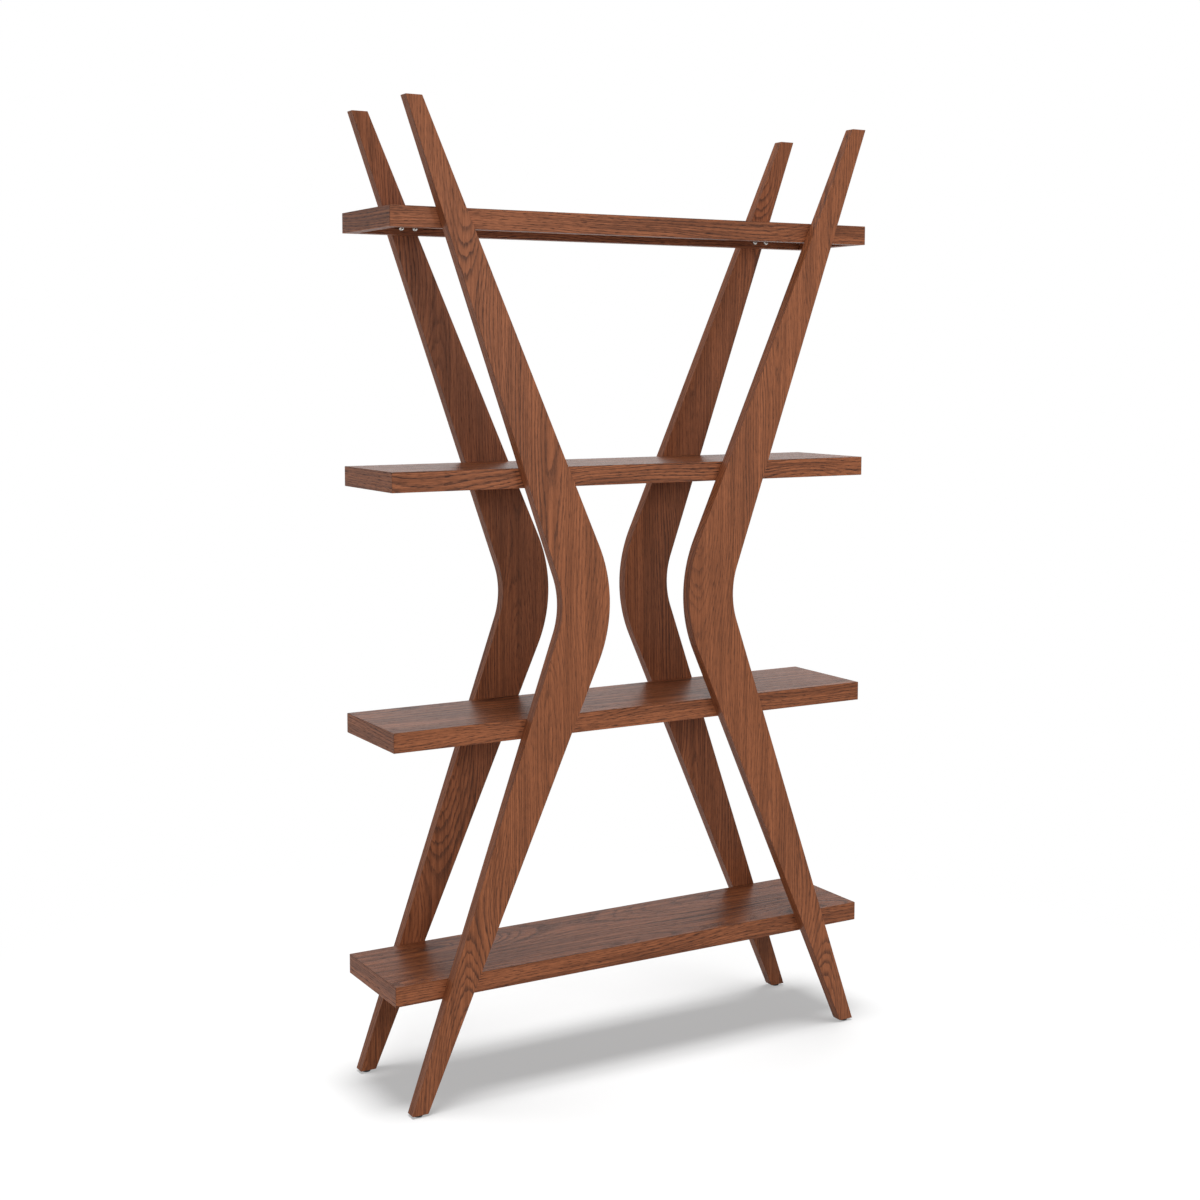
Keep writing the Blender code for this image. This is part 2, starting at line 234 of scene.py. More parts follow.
class EtagereFinishes(bpy.types.PropertyGroup):
    """Colours and surfaces of the etagere."""

    wood_light: FloatVectorProperty(
        name="Light wood",
        description="Stain on the paler wood between growth rings",
        subtype="COLOR",
        default=(0.455, 0.154, 0.064),
        min=0,
        max=1,
    )
    wood_deep: FloatVectorProperty(
        name="Deep wood",
        description="Stain where the veneer drinks more of it",
        subtype="COLOR",
        default=(0.250, 0.081, 0.0325),
        min=0,
        max=1,
    )
    wood_figure: FloatVectorProperty(
        name="Figure",
        description="Stain in the open wood of the growth rings",
        subtype="COLOR",
        default=(0.096, 0.0355, 0.019),
        min=0,
        max=1,
    )
    wood_pore: FloatVectorProperty(
        name="Pores",
        description="Stain that settled in the pores",
        subtype="COLOR",
        default=(0.045, 0.018, 0.012),
        min=0,
        max=1,
    )
    wood_roughness: FloatProperty(
        name="Wood roughness",
        description="Roughness of the satin lacquer",
        subtype="FACTOR",
        default=0.46,
        min=0,
        max=1,
    )
    wood_gloss: FloatProperty(
        name="Wood gloss",
        description="How much the thin lacquer reflects",
        subtype="FACTOR",
        default=0.2,
        min=0,
        max=1,
    )
    top_roughness: FloatProperty(
        name="Top roughness",
        description="Roughness of the lacquer on the shelf tops",
        subtype="FACTOR",
        default=0.29,
        min=0,
        max=1,
    )
    top_gloss: FloatProperty(
        name="Top gloss",
        description="How much the lacquer on the shelf tops reflects",
        subtype="FACTOR",
        default=0.08,
        min=0,
        max=1,
    )
    leaf_width: FloatProperty(
        name="Leaf width", description="Width of one leaf of veneer", default=0.155, unit="LENGTH"
    )
    ring_spacing: FloatProperty(
        name="Ring spacing", description="Distance between growth rings", default=0.0048, unit="LENGTH"
    )
    crown_swing: FloatProperty(
        name="Crown swing",
        description="How far the crowns of a leaf wander in the log",
        default=0.22,
        unit="LENGTH",
    )
    bolt_metal: FloatVectorProperty(
        name="Bolt metal",
        description="Bright zinc on the bolts",
        subtype="COLOR",
        default=(0.66, 0.64, 0.61),
        min=0,
        max=1,
    )
    glide_plastic: FloatVectorProperty(
        name="Glide plastic",
        description="Black plastic of the glides",
        subtype="COLOR",
        default=(0.006, 0.006, 0.006),
        min=0,
        max=1,
    )


class EtagereStudio(bpy.types.PropertyGroup):
    """Camera, lamps and floor."""

    camera_place: FloatVectorProperty(
        name="Camera place",
        description="Where the camera stands",
        subtype="TRANSLATION",
        default=(-1.75395, -2.88284, 1.33167),
    )
    camera_turn: FloatProperty(
        name="Camera turn",
        description="Heading, from straight at the front",
        subtype="ANGLE",
        default=radians(29.236),
    )
    camera_tilt: FloatProperty(
        name="Camera tilt",
        description="Tilt of the camera, up is positive",
        subtype="ANGLE",
        default=radians(-5.0375),
    )
    lens: FloatProperty(
        name="Lens", description="Focal length in millimetres", default=53.32, unit="CAMERA"
    )
    shift: FloatVectorProperty(
        name="Lens shift",
        description="Sideways and upward shift of the lens",
        size=2,
        default=(0.04106, -0.06908),
    )
    floor_white: FloatProperty(
        name="Floor white",
        description="How much of the light on the floor the camera sees",
        subtype="FACTOR",
        default=0.32,
        min=0,
        max=1,
    )
    floor_lift: FloatProperty(
        name="Floor lift",
        description="White that the camera sees on top of the lit floor",
        default=0.385,
        min=0,
    )
    floor_bounce: FloatProperty(
        name="Floor bounce",
        description="How much of its light the floor throws back up",
        subtype="FACTOR",
        default=0.24,
        min=0,
        max=1,
    )
    floor_reach: FloatProperty(
        name="Floor reach",
        description="How far from the middle the floor has turned plain white",
        default=1.5,
        unit="LENGTH",
    )
    room_strength: FloatProperty(
        name="Room light", description="Strength of the light room", default=0.325, min=0
    )
    ceiling_watts: FloatProperty(
        name="Ceiling lamp",
        description="Power of the wide lamp overhead",
        default=109,
        min=0,
        unit="POWER",
    )
    key_watts: FloatProperty(
        name="Key lamp",
        description="Power of the lamp at the front, left of the middle",
        default=11.5,
        min=0,
        unit="POWER",
    )
    fill_watts: FloatProperty(
        name="Fill lamp",
        description="Power of the lamp at the front, right of the middle",
        default=9,
        min=0,
        unit="POWER",
    )
    floor_watts: FloatProperty(
        name="Floor lamp",
        description="Power of the lamp overhead that lights only the floor",
        default=716,
        min=0,
        unit="POWER",
    )


# Hand work in the 3D view


def leave_all():
    """Nothing stays selected or open when the next piece is begun."""
    if bpy.context.object and bpy.context.object.mode != "OBJECT":
        bpy.ops.object.mode_set(mode="OBJECT")
    bpy.ops.object.select_all(action="DESELECT")


def take(item):
    """Make one object the selected and active one."""
    leave_all()
    item.select_set(True)
    bpy.context.view_layer.objects.active = item


def named(name):
    """Name the object that was just added and put its place into its mesh."""
    item = bpy.context.object
    item.name = name
    item.data.name = name
    bpy.ops.object.transform_apply(location=True, rotation=True, scale=True)
    return item


def begin_board(name, low, high):
    """A rectangular board between two corners."""
    leave_all()
    low, high = Vector(low), Vector(high)
    bpy.ops.mesh.primitive_cube_add(size=1, location=(low + high) / 2, scale=high - low)
    return named(name)


def begin_rod(name, radius, start, stop, sides):
    """A rod along the line from start to stop."""
    leave_all()
    start, stop = Vector(start), Vector(stop)
    line = stop - start
    turn = line.to_track_quat("Z", "Y").to_euler()
    bpy.ops.mesh.primitive_cylinder_add(
        vertices=sides, radius=radius, depth=line.length, location=(start + stop) / 2, rotation=turn
    )
    return named(name)


def begin_point(name, place):
    """A single point, from which an outline is drawn. Leaves it in edit mode."""
    leave_all()
    bpy.ops.mesh.primitive_plane_add(size=OVERRUN, location=place)
    item = named(name)
    bpy.ops.object.mode_set(mode="EDIT")
    bpy.ops.mesh.select_mode(type="VERT")
    bpy.ops.mesh.select_all(action="SELECT")
    bpy.ops.mesh.merge(type="CENTER")
    return item


def draw_to(item, place):
    """Extrude the selected point of an outline to a place."""
    shape = bmesh.from_edit_mesh(item.data)
    here = next(point.co.copy() for point in shape.verts if point.select)
    bpy.ops.mesh.extrude_region_move(TRANSFORM_OT_translate={"value": Vector(place) - here})


def choose(item, kind, wanted):
    """In edit mode, select the faces, edges or points that pass a test, and nothing else."""
    bpy.ops.mesh.select_mode(type=kind)
    bpy.ops.mesh.select_all(action="DESELECT")
    shape = bmesh.from_edit_mesh(item.data)
    parts = {"VERT": shape.verts, "EDGE": shape.edges, "FACE": shape.faces}[kind]
    for part in parts:
        if wanted(part):
            part.select_set(True)
    bmesh.update_edit_mesh(item.data)


def sand_edges(item, radius, steps):
    """Round every corner edge of a board a little."""
    take(item)
    bpy.ops.object.mode_set(mode="EDIT")
    choose(item, "EDGE", lambda edge: edge.calc_face_angle(0) > CORNER_ANGLE)
    bpy.ops.mesh.bevel(offset=radius, segments=steps, affect="EDGES", clamp_overlap=True)
    bpy.ops.object.mode_set(mode="OBJECT")


def saw(item, point, normal):
    """Saw a board along a plane and keep the side that the normal points away from."""
    take(item)
    bpy.ops.object.mode_set(mode="EDIT")
    bpy.ops.mesh.select_all(action="SELECT")
    bpy.ops.mesh.bisect(plane_co=point, plane_no=normal, clear_outer=True, use_fill=True)
    bpy.ops.object.mode_set(mode="OBJECT")


def copy_of(item, name):
    """A copy with a mesh of its own."""
    twin = item.copy()
    twin.data = item.data.copy()
    twin.name = name
    twin.data.name = name
    bpy.context.scene.collection.objects.link(twin)
    return twin


def shift_mesh(item, step):
    """Move a piece, leaving its object at the origin."""
    take(item)
    item.location = step
    bpy.ops.object.transform_apply(location=True, rotation=False, scale=False)


def mirror_mesh(item, ways):
    """Mirror a piece about the middle of the etagere, with its faces still pointing out."""
    take(item)
    item.scale = ways
    bpy.ops.object.transform_apply(location=False, rotation=False, scale=True)
    face_outwards(item)


def face_outwards(item):
    """Weld a piece and point its faces outwards."""
    take(item)
    bpy.ops.object.mode_set(mode="EDIT")
    bpy.ops.mesh.select_all(action="SELECT")
    bpy.ops.mesh.remove_doubles(threshold=WELD)
    bpy.ops.mesh.normals_make_consistent(inside=False)
    bpy.ops.object.mode_set(mode="OBJECT")


def cut_with(item, cutter):
    """Take a cutter's shape out of a piece."""
    take(item)
    modifier = item.modifiers.new("cut", "BOOLEAN")
    modifier.operation = "DIFFERENCE"
    modifier.solver = "EXACT"
    modifier.object = cutter
    bpy.ops.object.modifier_apply(modifier=modifier.name)


def even_shading(item):
    """Smooth shading that keeps corners crisp and broad faces flat."""
    take(item)
    bpy.ops.object.shade_smooth_by_angle(angle=CORNER_ANGLE, keep_sharp_edges=False)
    modifier = item.modifiers.new("even", "WEIGHTED_NORMAL")
    modifier.mode = "FACE_AREA"
    modifier.weight = 100
    modifier.keep_sharp = True
    bpy.ops.object.modifier_apply(modifier=modifier.name)


def discard(*items):
    """Remove helper objects."""
    for item in items:
        bpy.data.objects.remove(item, do_unlink=True)


def finish_piece(item, material, slot, *nodes):
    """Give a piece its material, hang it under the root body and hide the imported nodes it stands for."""
    item.data.materials.clear()
    item.data.materials.append(material)
    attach(item, "root")
    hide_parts(*nodes)


# Grain maps


def box_grain(item, along, place):
    """Map veneer onto a straight board, its grain along one axis (0 is X, 1 is Y)."""
    mesh = item.data
    grain = mesh.uv_layers.new(name=GRAIN)
    start_across, start_along = place
    for face in mesh.polygons:
        facing = max(range(3), key=lambda axis: abs(face.normal[axis]))
        across = next(axis for axis in (2, 1, 0) if axis not in (facing, along))
        for loop in face.loop_indices:
            point = mesh.vertices[mesh.loops[loop].vertex_index].co
            grain.data[loop].uv = (start_across + point[across], start_along + point[along])


def run_length(height, lean, radius):
    """Length along a leg's edge from its waist to a height."""
    rise = abs(height - WAIST_HEIGHT)
    round_rise = radius * sin(lean)
    if rise < round_rise:
        run = radius * atan(rise / sqrt(radius ** 2 - rise ** 2))
    else:
        run = radius * lean + (rise - round_rise) / cos(lean)
    return run if height > WAIST_HEIGHT else -run


def leg_grain(item, lean, radius, place, edge_place):
    """Map veneer onto a leg: upright on its broad faces, and along the edge on its narrow ones."""
    mesh = item.data
    grain = mesh.uv_layers.new(name=GRAIN)
    broad_share = 0.5
    for face in mesh.polygons:
        broad = abs(face.normal.y) > broad_share
        start_across, start_along = place if broad else edge_place
        for loop in face.loop_indices:
            point = mesh.vertices[mesh.loops[loop].vertex_index].co
            if broad:
                grain.data[loop].uv = (start_across + point.x, start_along + point.z)
            else:
                run = run_length(point.z, lean, radius)
                grain.data[loop].uv = (start_across + point.y, start_along + run)


# Materials


def fill_inputs(tree, item, inputs):
    """Link or set some inputs of a node."""
    for key, value in inputs.items():
        if isinstance(value, bpy.types.NodeSocket):
            tree.links.new(value, item.inputs[key])
        else:
            item.inputs[key].default_value = value


def node_adder(tree):
    """A function that adds a node to a tree and returns one of its outputs."""

    def node(kind, inputs=None, out=0, **settings):
        item = tree.nodes.new("ShaderNode" + kind)
        for key, value in settings.items():
            setattr(item, key, value)
        fill_inputs(tree, item, inputs or {})
        return item.outputs[out]

    return node


def new_material(name):
    """A new material, its node tree and a function that adds nodes to it."""
    material = bpy.data.materials.new(name)
    material.use_nodes = True
    return material, material.node_tree, node_adder(material.node_tree)


def math_on(node):
    """A short way to write sums in a material."""

    def sum_of(operation, first, second=0.0, third=0.0):
        return node("Math", {0: first, 1: second, 2: third}, operation=operation)

    return sum_of


def ramp(node, fac, stops):
    """A grey ramp through (position, value) stops."""
    output = node("ValToRGB", {0: fac})
    band = output.node.color_ramp
    while len(band.elements) < len(stops):
        band.elements.new(1.0)
    for element, (position, value) in zip(band.elements, stops):
        element.position = position
        element.color = (value, value, value, 1.0)
    return output


def blend(node, fac, first, second):
    """Mix two colours."""
    colours = [(*c, 1.0) if not isinstance(c, bpy.types.NodeSocket) else c for c in (first, second)]
    return node("Mix", {0: fac, 6: colours[0], 7: colours[1]}, out=2, data_type="RGBA")


def veneer_noise(node, uv, kind):
    """One kind of noise, with its own number of cells per metre across the grain and along it."""
    across, along, seed, detail, roughness = NOISES[kind]
    place = {0: uv, 1: (across, along, 0.0), 2: (seed, seed, seed)}
    vector = node("VectorMath", place, operation="MULTIPLY_ADD")
    return node("TexNoise", {"Vector": vector, "Scale": 1.0, "Detail": detail, "Roughness": roughness})


def heart_distance(node, sums, spread, uv):
    """How far from the heart of its log the wood grew. Each leaf of veneer has its own crown."""
    look = bpy.context.scene.etagere_finishes
    wander, offset = 0.06, 0.03
    leaf_drift, swings_per_metre, swing_detail, least_depth = 37.0, 1.1, 1.5, 0.01
    wave, ripple = 0.010, 0.0016
    place = node("SeparateXYZ", {0: uv}).node.outputs
    leaves = sums("DIVIDE", place[0], look.leaf_width)
    leaf = sums("FLOOR", leaves)
    chances = node("TexWhiteNoise", {"W": leaf}, out=1, noise_dimensions="1D")
    chance = node("SeparateXYZ", {0: chances}).node.outputs
    aside = sums("MULTIPLY", sums("SUBTRACT", sums("FRACT", leaves), 0.5), look.leaf_width)
    aside = sums("MULTIPLY_ADD", spread("crown_wander"), wander, aside)
    aside = sums("MULTIPLY_ADD", sums("SUBTRACT", chance[0], 0.5), offset, aside)
    drift = sums("MULTIPLY_ADD", chance[1], leaf_drift, sums("MULTIPLY", place[1], swings_per_metre))
    swing = node("TexNoise", {"W": drift, "Scale": 1.0, "Detail": swing_detail}, noise_dimensions="1D")
    depth = sums("MULTIPLY_ADD", sums("SUBTRACT", swing, 0.5), look.crown_swing, least_depth)
    squares = sums("ADD", sums("MULTIPLY", aside, aside), sums("MULTIPLY", depth, depth))
    distance = sums("POWER", squares, 0.5)
    distance = sums("MULTIPLY_ADD", spread("ring_waves"), wave, distance)
    return sums("MULTIPLY_ADD", spread("ring_ripples"), ripple, distance)


def growth_rings(node, sums, distance, spacing):
    """Rings of uneven width: one in the open wood that grows first, zero in the dense wood."""
    cells_per_metre, detail, rings_of_change = 70.0, 1.0, 2.6
    cells = sums("MULTIPLY", distance, cells_per_metre)
    uneven = node("TexNoise", {"W": cells, "Scale": 1.0, "Detail": detail}, noise_dimensions="1D")
    count = sums("ADD", sums("DIVIDE", distance, spacing), sums("MULTIPLY", uneven, rings_of_change))
    return ramp(node, sums("FRACT", count), RING_STOPS)


def make_veneer(name, lacquer, figure_strength, contrast, pore_depth, ring_scale=1.0, soak_and_painted_shade=0.45):
    """Crown-cut, open-grained veneer under brown stain and a lacquer of a (roughness, gloss)."""
    look = bpy.context.scene.etagere_finishes
    roughness, gloss = lacquer
    material, tree, node = new_material(name)
    sums = math_on(node)
    uv = node("UVMap", uv_map=GRAIN)

    def spread(kind):
        return sums("SUBTRACT", veneer_noise(node, uv, kind), 0.5)

    # Growth rings, bolder in some places than in others and broken up by the grain
    distance = heart_distance(node, sums, spread, uv)
    ring = growth_rings(node, sums, distance, look.ring_spacing * ring_scale)
    bold = ramp(node, veneer_noise(node, uv, "boldness"), BOLD_STOPS)
    broken = ramp(node, veneer_noise(node, uv, "breaks"), BREAK_STOPS)
    figure = sums("MULTIPLY", sums("MULTIPLY", ring, broken), sums("MULTIPLY", bold, figure_strength))

    # Open pores, more of them in the rings
    ring_pores, other_pores = 0.6, 0.4
    pores = ramp(node, veneer_noise(node, uv, "pores"), PORE_STOPS)
    pores = sums("MULTIPLY", pores, sums("MULTIPLY_ADD", ring, ring_pores, other_pores))

    # Stain, which sank in unevenly round a base depth; on the shelf tops that depth is raised, partly as
    # painted shade
    mottle_weight, streak_weight, fibre_weight, pore_weight = 1.0, 2.0, 3.2, 0.62
    fibre = spread("fibre")
    drunk = sums("MULTIPLY_ADD", spread("mottle"), mottle_weight * contrast, soak_and_painted_shade)
    drunk = sums("MULTIPLY_ADD", spread("streaks"), streak_weight * contrast, drunk)
    drunk = node("Clamp", {0: sums("MULTIPLY_ADD", fibre, fibre_weight * contrast, drunk)})
    stain = blend(node, drunk, look.wood_light, look.wood_deep)
    stain = blend(node, figure, stain, look.wood_figure)
    filled = sums("MULTIPLY", pores, min(pore_weight * contrast, 1.0))
    stain = blend(node, filled, stain, look.wood_pore)

    # Lacquer, duller over the pores, and sunk into them and into the rings
    pore_dullness, fibre_dullness, fibre_height, relief_strength = 0.16, 0.10, 0.4, 0.35
    dullness = sums("MULTIPLY_ADD", pores, pore_dullness, roughness)
    dullness = sums("MULTIPLY_ADD", fibre, fibre_dullness, dullness)
    relief = sums("ADD", sums("MULTIPLY", pores, -1.0), sums("MULTIPLY", figure, -1.0))
    relief = sums("MULTIPLY_ADD", fibre, fibre_height, relief)
    bump = node("Bump", {"Strength": relief_strength, "Distance": pore_depth, "Height": relief})
    surface = {"Base Color": stain, "Roughness": dullness, "Normal": bump, "Specular IOR Level": gloss}
    fill_inputs(tree, tree.nodes["Principled BSDF"], surface)
    return material


def make_bolt_metal():
    """Bright zinc with fine scuffs."""
    look = bpy.context.scene.etagere_finishes
    scuffs_per_metre, scuff_detail, scuff_shade = 900.0, 3.0, 0.72
    clean_roughness, scuff_roughness = 0.16, 0.2
    material, tree, node = new_material("zinc")
    place = node("TexCoord", out=3)
    scuffs = node("TexNoise", {"Vector": place, "Scale": scuffs_per_metre, "Detail": scuff_detail})
    tone = blend(node, scuffs, look.bolt_metal, [value * scuff_shade for value in look.bolt_metal])
    dullness = math_on(node)("MULTIPLY_ADD", scuffs, scuff_roughness, clean_roughness)
    surface = {"Base Color": tone, "Roughness": dullness, "Metallic": 1.0}
    fill_inputs(tree, tree.nodes["Principled BSDF"], surface)
    return material


def make_glide_plastic():
    """Black moulded plastic with a fine grain."""
    look = bpy.context.scene.etagere_finishes
    grains_per_metre, grain_detail, grain_tint = 1400.0, 2.0, 2.2
    least_roughness, grain_roughness = 0.48, 0.2
    grain_depth, grain_strength = 0.00008, 0.3
    material, tree, node = new_material("glide_plastic")
    place = node("TexCoord", out=3)
    grain = node("TexNoise", {"Vector": place, "Scale": grains_per_metre, "Detail": grain_detail})
    tone = blend(node, grain, look.glide_plastic, [value * grain_tint for value in look.glide_plastic])
    dullness = math_on(node)("MULTIPLY_ADD", grain, grain_roughness, least_roughness)
    bump = node("Bump", {"Strength": grain_strength, "Distance": grain_depth, "Height": grain})
    surface = {"Base Color": tone, "Roughness": dullness, "Normal": bump}
    fill_inputs(tree, tree.nodes["Principled BSDF"], surface)
    return material


# Legs


def leg_edge(end_reach, waist_reach, radius):
    """Lean, centre and tangent points of the round where a leg's straight edges meet."""
    lean = atan((end_reach - waist_reach) / LEG_HALF_HEIGHT)
    centre = waist_reach + radius / cos(lean)
    reach = centre - radius * cos(lean)
    rise = radius * sin(lean)
    return lean, centre, (reach, WAIST_HEIGHT - rise), (reach, WAIST_HEIGHT + rise)


def draw_round(centre, y, angle, steps):
    """Swing the selected point of an outline round a centre."""
    bpy.ops.mesh.spin(steps=steps, angle=angle, center=(centre, y, WAIST_HEIGHT), axis=(0, 1, 0))


def make_leg_board(sizes):
    """The back right leg: an outline of straight runs and rounds, filled, thickened and sanded."""
    near, far = -LEG_HIGH.y, -LEG_LOW.y
    outer_end = LEG_HIGH.x
    inner_end = outer_end - sizes.leg_end_width
    inner_waist = sizes.leg_waist_gap / 2
    outer_waist = inner_waist + sizes.leg_waist_width
    lean_in, centre_in, low_in, high_in = leg_edge(inner_end, inner_waist, sizes.inner_waist_radius)
    lean_out, centre_out, low_out, high_out = leg_edge(outer_end, outer_waist, sizes.outer_waist_radius)
    leg = begin_point("leg_board", (inner_end, near, LEG_LOW.z))
    draw_to(leg, (low_in[0], near, low_in[1]))
    draw_round(centre_in, near, -2 * lean_in, sizes.round_steps)
    draw_to(leg, (inner_end, near, LEG_HIGH.z))
    draw_to(leg, (outer_end, near, LEG_HIGH.z))
    draw_to(leg, (high_out[0], near, high_out[1]))
    draw_round(centre_out, near, 2 * lean_out, sizes.round_steps)
    draw_to(leg, (outer_end, near, LEG_LOW.z))
    draw_to(leg, (inner_end, near, LEG_LOW.z))
    bpy.ops.mesh.select_all(action="SELECT")
    bpy.ops.mesh.remove_doubles(threshold=WELD)
    bpy.ops.mesh.edge_face_add()
    bpy.ops.mesh.extrude_region_move(TRANSFORM_OT_translate={"value": (0, far - near, 0)})
    bpy.ops.object.mode_set(mode="OBJECT")
    face_outwards(leg)
    sand_edges(leg, sizes.edge_radius, sizes.edge_steps)
    return leg


def bolt_place(shelf, face, side, spot):
    """A bolt's X, the least and the most that it stands out from the middle, and its height."""
    low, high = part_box(f"{shelf}_{face}_{side}_{spot}_bolt")
    middle = (low + high) / 2
    inner = min(abs(low.y), abs(high.y))
    outer = max(abs(low.y), abs(high.y))
    return middle.x, inner, outer, middle.z


def drill_for(name, holes, radius):
    """One cutter made of a rod for each (start, stop) hole."""
    rods = [
        begin_rod(f"{name}_{count}", radius, start, stop, HOLE_SIDES)
        for count, (start, stop) in enumerate(holes)
    ]
    leave_all()
    for rod in rods:
        rod.select_set(True)
    bpy.context.view_layer.objects.active = rods[0]
    bpy.ops.object.join()
    return rods[0]


def bolt_holes(sizes, shelves):
    """The holes of the back right leg and rail for the bolts of some shelves."""
    holes = []
    for shelf in shelves:
        for spot in SPOTS:
            x, inner, outer, z = bolt_place(shelf, "back", "right", spot)
            holes.append(((x, inner - OVERRUN, z), (x, outer + sizes.thread_pitch, z)))
    return holes


class ETAGERE_OT_add_legs(bpy.types.Operator):
    """Add the four veneered legs"""

    bl_idname = "etagere.add_legs"
    bl_label = "Add legs"

    def execute(self, context):
        sizes = context.scene.etagere_sizes
        board = make_leg_board(sizes)
        radius = sizes.bolt_diameter / 2 + sizes.joint_gap
        drill = drill_for("leg_drill", bolt_holes(sizes, SHELVES), radius)
        low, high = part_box("back_right_glide")
        middle = (low + high) / 2
        nail = (middle.x, middle.y, low.z), (middle.x, middle.y, high.z + sizes.thread_pitch)
        nail_drill = drill_for("nail_drill", [nail], sizes.nail_diameter / 2 + sizes.joint_gap)
        cut_with(board, drill)
        cut_with(board, nail_drill)
        discard(drill, nail_drill)
        look = context.scene.etagere_finishes
        veneer = make_veneer("leg_veneer", (look.wood_roughness, look.wood_gloss), **LEG_VENEER)
        outer_waist = sizes.leg_waist_gap / 2 + sizes.leg_waist_width
        lean = leg_edge(LEG_HIGH.x, outer_waist, sizes.outer_waist_radius)[0]
        for face, front in FACES.items():
            for side, way in SIDES.items():
                leg = copy_of(board, f"{face}_{side}_leg_veneered")
                mirror_mesh(leg, (way, front, 1))
                places = LEG_LEAVES[face, side], LEG_EDGE_LEAVES[face, side]
                leg_grain(leg, lean, sizes.outer_waist_radius, *places)
                even_shading(leg)
                finish_piece(leg, veneer, "leg_wood", f"{face}_{side}_leg")
        discard(board)
        return {"FINISHED"}


# Shelves


def make_shelf_blank(sizes):
    """A whole shelf with its top at zero, sanded all round, from which its pieces are sawn."""
    low = (-SHELF_REACH_X, -SHELF_REACH_Y, -SHELF_THICKNESS)
    high = (SHELF_REACH_X, SHELF_REACH_Y, 0)
    blank = begin_board("shelf_blank", low, high)
    sand_edges(blank, sizes.edge_radius, sizes.edge_steps)
    return blank


def fold_planes(offset):
    """The four sloping joints between a panel and its rails, moved outwards by an offset."""
    planes = []
    for way in (Vector((1, 0, 0)), Vector((-1, 0, 0)), Vector((0, 1, 0)), Vector((0, -1, 0))):
        normal = (way - Vector((0, 0, 1))).normalized()
        edge = Vector((way.x * SHELF_REACH_X, way.y * SHELF_REACH_Y, 0))
        planes.append((edge + normal * offset, normal))
    return planes


def make_panel(sizes, blank):
    """The top panel, sloping in at its edges."""
    panel = copy_of(blank, "panel")
    for point, normal in fold_planes(-sizes.joint_gap / 2):
        saw(panel, point, normal)
    saw(panel, (0, 0, -sizes.panel_thickness), (0, 0, -1))
    return panel


def make_panel_seat(sizes):
    """Cutter for the ledge and slope that a panel sits on."""
    reach = Vector((SHELF_REACH_X + OVERRUN, SHELF_REACH_Y + OVERRUN, OVERRUN))
    floor = -sizes.panel_thickness - sizes.joint_gap
    seat = begin_board("panel_seat", (-reach.x, -reach.y, floor), reach)
    for point, normal in fold_planes(sizes.joint_gap / 2):
        saw(seat, point, normal)
    return seat


def make_rail(sizes, blank, seat, way):
    """The rail on one side of a shelf, mitred into its neighbours."""
    way = Vector(way)
    across = Vector((-way.y, way.x, 0))
    extent = Vector((SHELF_REACH_X, SHELF_REACH_Y, 0))
    edge = way * abs(extent.dot(way))
    end = across * abs(extent.dot(across))
    rail = copy_of(blank, "rail")
    saw(rail, edge - way * sizes.rail_width, -way)
    for turn in (1, -1):
        normal = (turn * across - way).normalized()
        saw(rail, edge + turn * end - normal * sizes.joint_gap / 2, normal)
    cut_with(rail, seat)
    return rail


class ETAGERE_OT_add_shelves(bpy.types.Operator):
    """Add the four tray shelves, each a panel and four rails"""

    bl_idname = "etagere.add_shelves"
    bl_label = "Add shelves"

    def execute(self, context):
        sizes = context.scene.etagere_sizes
        blank = make_shelf_blank(sizes)
        seat = make_panel_seat(sizes)
        panel = make_panel(sizes, blank)
        rails = {
            "back": make_rail(sizes, blank, seat, (0, 1, 0)),
            "right": make_rail(sizes, blank, seat, (1, 0, 0)),
        }
        look = context.scene.etagere_finishes
        panel_veneer = make_veneer("shelf_top_veneer", (look.top_roughness, look.top_gloss), **TOP_VENEER)
        rail_veneer = make_veneer("rail_veneer", (look.wood_roughness, look.wood_gloss), **RAIL_VENEER)
        for shelf in SHELVES:
            lift = Vector((0, 0, SHELF_TOPS[shelf]))
            top = copy_of(panel, f"{shelf}_panel_veneered")
            box_grain(top, 0, PANEL_LEAVES[shelf])
            shift_mesh(top, lift)
            even_shading(top)
            finish_piece(top, panel_veneer, "shelf_top_wood", f"{shelf}_panel")
            radius = sizes.bolt_diameter / 2 + sizes.joint_gap
            drill = drill_for("rail_drill", bolt_holes(sizes, [shelf]), radius)
            mirrored_drill = copy_of(drill, "rail_drill_left")
            mirror_mesh(mirrored_drill, (-1, 1, 1))
            drilled = copy_of(rails["back"], "drilled_rail")
            shift_mesh(drilled, lift)
            cut_with(drilled, drill)
            cut_with(drilled, mirrored_drill)
            plain = copy_of(rails["right"], "plain_rail")
            shift_mesh(plain, lift)
            start = Vector(RAIL_LEAVES[shelf])
            for name, source, ways, along in (
                ("back", drilled, (1, 1, 1), 0),
                ("front", drilled, (-1, -1, 1), 0),
                ("right", plain, (1, 1, 1), 1),
                ("left", plain, (-1, -1, 1), 1),
            ):
                rail = copy_of(source, f"{shelf}_{name}_rail_veneered")
                mirror_mesh(rail, ways)
                box_grain(rail, along, start + Vector(RAIL_STEPS[name]))
                even_shading(rail)
                finish_piece(rail, rail_veneer, "rail_wood", f"{shelf}_{name}_rail")
            discard(drill, mirrored_drill, drilled, plain)
        discard(blank, seat, panel, *rails.values())
        return {"FINISHED"}


# Bolts and glides


